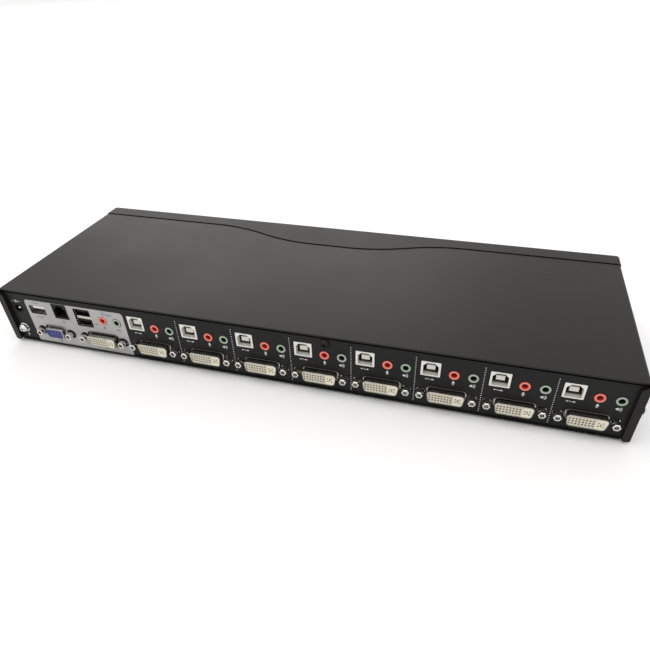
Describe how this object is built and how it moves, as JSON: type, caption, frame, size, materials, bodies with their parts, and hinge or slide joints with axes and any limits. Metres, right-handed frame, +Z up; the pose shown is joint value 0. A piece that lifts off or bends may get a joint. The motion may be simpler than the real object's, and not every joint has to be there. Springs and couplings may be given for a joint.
{
  "type": "kvm switch",
  "caption": "Rack-width black box that shares one screen, keyboard, mouse and speakers among several computers, with a push button for each computer and sockets at the rear.",
  "frame": {"origin": "middle of the bounding box's underside, on the surface the feet stand on", "axes": "+Z up, -Y towards the front with the buttons, +Y towards the rear with the sockets, +X to the right seen from the front"},
  "size_m": [0.4408, 0.1588, 0.046],
  "materials": {
    "black_steel": "fine-textured black powder coat",
    "grey_label": "satin light grey print",
    "black_plastic": "fine matt grain",
    "gloss_black": "polished",
    "bright_steel": "bright nickel-plated steel",
    "nickel": "nickel plate",
    "ivory_plastic": "satin moulding",
    "white_plastic": "satin moulding",
    "blue_plastic": "satin moulding",
    "coral_plastic": "satin moulding",
    "green_plastic": "satin moulding",
    "gold_contact": "gold flash",
    "brass": "turned",
    "foot_rubber": "matt",
    "board_green": "solder mask",
    "can_aluminium": "bright can",
    "grey_ribbon": "flexible insulation",
    "led_lens": "clear tinted lens",
    "button_plastic": "satin moulding",
    "plunger_plastic": "satin moulding"
  },
  "bodies": {
    "housing": {"top_cover": "black_steel", "base_tray": "black_steel", "rear_panel": "black_steel", "console_label": "grey_label", "front_bezel": "black_plastic", "front_overlay": "gloss_black", "tact_switches": "black_plastic", "leds": "led_lens", "dvi_shells": "bright_steel", "dvi_insulators": "ivory_plastic", "vga_shell": "bright_steel", "vga_insulator": "blue_plastic", "jackscrews": "nickel", "usb_b_shells": "bright_steel", "usb_b_insulators": "white_plastic", "usb_a_shell": "bright_steel", "usb_a_tongue": "black_plastic", "usb_stack_shell": "bright_steel", "usb_stack_tongues": "black_plastic", "upgrade_jack": "black_plastic", "upgrade_jack_contacts": "gold_contact", "mic_jack_sleeves": "coral_plastic", "speaker_jack_sleeves": "green_plastic", "audio_jack_housings": "black_plastic", "power_jack": "black_plastic", "power_jack_pin": "nickel", "cover_screws": "black_steel", "ground_screw": "nickel", "ground_washers": "nickel", "ear_nuts": "nickel", "rubber_feet": "foot_rubber", "main_board": "board_green", "io_board": "board_green", "tray_standoffs": "bright_steel", "board_pillars": "brass", "board_headers": "black_plastic", "button_board": "board_green", "internal_screws": "bright_steel", "logic_chips": "black_plastic", "capacitors": "can_aluminium", "crystals": "bright_steel", "voltage_regulators": "black_plastic", "buzzer": "black_plastic", "ribbon_cable": "grey_ribbon"},
    "button_1": {"port_button_1": "button_plastic", "switch_plunger_1": "plunger_plastic"},
    "button_2": {"port_button_2": "button_plastic", "switch_plunger_2": "plunger_plastic"},
    "button_3": {"port_button_3": "button_plastic", "switch_plunger_3": "plunger_plastic"},
    "button_4": {"port_button_4": "button_plastic", "switch_plunger_4": "plunger_plastic"},
    "button_5": {"port_button_5": "button_plastic", "switch_plunger_5": "plunger_plastic"},
    "button_6": {"port_button_6": "button_plastic", "switch_plunger_6": "plunger_plastic"},
    "button_7": {"port_button_7": "button_plastic", "switch_plunger_7": "plunger_plastic"},
    "button_8": {"port_button_8": "button_plastic", "switch_plunger_8": "plunger_plastic"}
  },
  "joints": [
    {"name": "button_1_press", "type": "slide", "parent": "housing", "child": "button_1", "axis": [0, 1, 0], "range_m": [0, 0.0005], "stiffness_N_per_m": 3000},
    {"name": "button_2_press", "type": "slide", "parent": "housing", "child": "button_2", "axis": [0, 1, 0], "range_m": [0, 0.0005], "stiffness_N_per_m": 3000},
    {"name": "button_3_press", "type": "slide", "parent": "housing", "child": "button_3", "axis": [0, 1, 0], "range_m": [0, 0.0005], "stiffness_N_per_m": 3000},
    {"name": "button_4_press", "type": "slide", "parent": "housing", "child": "button_4", "axis": [0, 1, 0], "range_m": [0, 0.0005], "stiffness_N_per_m": 3000},
    {"name": "button_5_press", "type": "slide", "parent": "housing", "child": "button_5", "axis": [0, 1, 0], "range_m": [0, 0.0005], "stiffness_N_per_m": 3000},
    {"name": "button_6_press", "type": "slide", "parent": "housing", "child": "button_6", "axis": [0, 1, 0], "range_m": [0, 0.0005], "stiffness_N_per_m": 3000},
    {"name": "button_7_press", "type": "slide", "parent": "housing", "child": "button_7", "axis": [0, 1, 0], "range_m": [0, 0.0005], "stiffness_N_per_m": 3000},
    {"name": "button_8_press", "type": "slide", "parent": "housing", "child": "button_8", "axis": [0, 1, 0], "range_m": [0, 0.0005], "stiffness_N_per_m": 3000}
  ]
}
